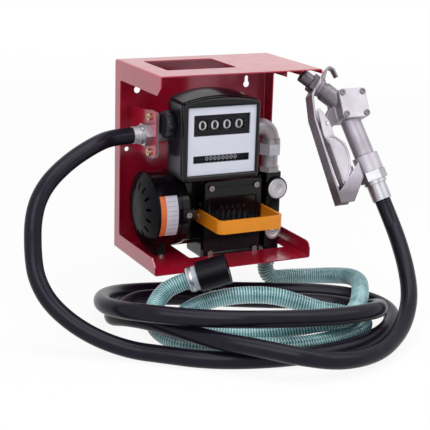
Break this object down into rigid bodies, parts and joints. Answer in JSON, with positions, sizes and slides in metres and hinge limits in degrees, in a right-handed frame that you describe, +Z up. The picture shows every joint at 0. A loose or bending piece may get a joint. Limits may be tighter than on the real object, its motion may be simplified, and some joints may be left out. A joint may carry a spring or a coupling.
{
  "type": "diesel transfer pump",
  "caption": "Wall-hung diesel transfer pump: folded frame with motor and vane pump, mechanical meter, suction hose with foot valve and delivery hose with hand nozzle.",
  "frame": {"origin": "on the wall, midway between the two keyhole slots at the height of their round holes", "axes": "+X right as seen from the front, +Y into the wall, +Z up"},
  "size_m": [0.6517, 0.5242, 0.419],
  "materials": {
    "red_paint": "gloss",
    "cast_black": "satin",
    "plug_metal": "satin",
    "brass": "satin",
    "spring_steel": "satin",
    "steel": "satin",
    "orange": "gloss",
    "black_screw": "satin",
    "number_wheel": "matt",
    "zinc": "satin",
    "black_rubber": "satin",
    "black_plastic": "satin",
    "white_plastic": "satin",
    "nozzle_metal": "satin",
    "cast_grey": "matt",
    "dark_grey": "satin",
    "clear_pane": "gloss",
    "label_film": "satin",
    "galvanised": "satin",
    "teal_plastic": "gloss"
  },
  "bodies": {
    "base": {"adapter": "cast_black", "bypass_plug": "plug_metal", "bypass_spring": "spring_steel", "cam_ring": "steel", "case_screws": "zinc", "counter_axles": "steel", "delivery_ferrule": "zinc", "delivery_hose": "black_rubber", "delivery_nut": "zinc", "fan_cover": "black_plastic", "foot_collar": "white_plastic", "foot_screen": "black_plastic", "foot_valve": "black_plastic", "frame_screws": "zinc", "grip_collar": "nozzle_metal", "handle_screws": "brass", "inlet_fitting": "zinc", "meter_body": "cast_grey", "meter_bolts": "brass", "meter_face": "white_plastic", "meter_housing": "dark_grey", "meter_panes": "clear_pane", "meter_plate": "red_paint", "motor_body": "cast_black", "motor_label": "label_film", "nozzle_body": "nozzle_metal", "nozzle_cover": "nozzle_metal", "nozzle_ferrule": "zinc", "nozzle_hook": "zinc", "nozzle_screws": "black_screw", "nozzle_spout": "zinc", "pump_body": "cast_black", "pump_cover": "cast_black", "riser_elbow": "galvanised", "riser_nipple": "galvanised", "riser_union": "galvanised", "stator": "steel", "strainer_plug": "plug_metal", "strainer_screen": "steel", "suction_hose": "teal_plastic", "trigger_guard": "nozzle_metal", "trigger_pin": "zinc", "wall_frame": "red_paint"},
    "handle": {"carrying_handle": "orange"},
    "rotor": {"motor_shaft": "steel", "fan": "black_plastic", "pump_rotor": "steel", "pump_vanes": "black_plastic"},
    "disc": {"meter_disc": "black_plastic"},
    "wheel_1": {"counter_wheel_1": "number_wheel"},
    "wheel_2": {"counter_wheel_2": "number_wheel"},
    "wheel_3": {"counter_wheel_3": "number_wheel"},
    "wheel_4": {"counter_wheel_4": "number_wheel"},
    "total": {"total_drum": "number_wheel"},
    "knob": {"reset_knob": "black_plastic"},
    "bypass": {"bypass_poppet": "brass"},
    "trigger": {"trigger_lever": "nozzle_metal"},
    "swivel": {"swivel_nut": "zinc"},
    "foot_check": {"foot_poppet": "brass"}
  },
  "joints": [
    {"name": "drive", "type": "hinge", "parent": "base", "child": "rotor", "pos_m": [0, -0.082, -0.195], "axis": [1, 0, 0], "continuous": true},
    {"name": "disc_turn", "type": "hinge", "parent": "base", "child": "disc", "pos_m": [-0.0255, -0.098, -0.059], "axis": [0, -1, 0], "continuous": true},
    {"name": "wheel_4_turn", "type": "hinge", "parent": "base", "child": "wheel_4", "pos_m": [0.0061, -0.142, -0.035], "axis": [-1, 0, 0], "continuous": true},
    {"name": "wheel_3_turn", "type": "hinge", "parent": "base", "child": "wheel_3", "pos_m": [-0.0166, -0.142, -0.035], "axis": [-1, 0, 0], "continuous": true},
    {"name": "wheel_2_turn", "type": "hinge", "parent": "base", "child": "wheel_2", "pos_m": [-0.0393, -0.142, -0.035], "axis": [-1, 0, 0], "continuous": true},
    {"name": "wheel_1_turn", "type": "hinge", "parent": "base", "child": "wheel_1", "pos_m": [-0.062, -0.142, -0.035], "axis": [-1, 0, 0], "continuous": true},
    {"name": "total_turn", "type": "hinge", "parent": "base", "child": "total", "pos_m": [-0.0255, -0.151, -0.0915], "axis": [-1, 0, 0], "continuous": true},
    {"name": "knob_turn", "type": "hinge", "parent": "base", "child": "knob", "pos_m": [-0.107, -0.13, -0.037], "axis": [-1, 0, 0], "continuous": true},
    {"name": "handle_swing", "type": "hinge", "parent": "base", "child": "handle", "pos_m": [0.03075, -0.099, -0.211], "axis": [-1, 0, 0], "range_deg": [-40, 55]},
    {"name": "bypass_lift", "type": "slide", "parent": "base", "child": "bypass", "axis": [0, -1, 0], "range_m": [0, 0.004], "stiffness_N_per_m": 2000, "springref_m": -0.002, "deforming": ["bypass_spring"]},
    {"name": "trigger_squeeze", "type": "hinge", "parent": "base", "child": "trigger", "pos_m": [0.168, -0.18684, -0.04382], "axis": [0, -0.8829, 0.4695], "range_deg": [0, 10], "stiffness_Nm_per_rad": 8, "springref_deg": -5.73},
    {"name": "swivel_turn", "type": "hinge", "parent": "base", "child": "swivel", "pos_m": [0.2421, -0.2333, -0.1312], "axis": [0.213, -0.4587, -0.8627], "continuous": true},
    {"name": "foot_check_lift", "type": "slide", "parent": "base", "child": "foot_check", "axis": [-0.8537, 0.4017, -0.3314], "range_m": [0, 0.004]}
  ],
  "couplings": [
    {"joint": "disc_turn", "follows": "drive", "ratio": 0.25},
    {"joint": "wheel_4_turn", "follows": "drive", "ratio": 0.05},
    {"joint": "wheel_3_turn", "follows": "drive", "ratio": 0.005},
    {"joint": "wheel_2_turn", "follows": "drive", "ratio": 0.0005},
    {"joint": "wheel_1_turn", "follows": "drive", "ratio": 0.00005},
    {"joint": "total_turn", "follows": "drive", "ratio": 0.005}
  ]
}
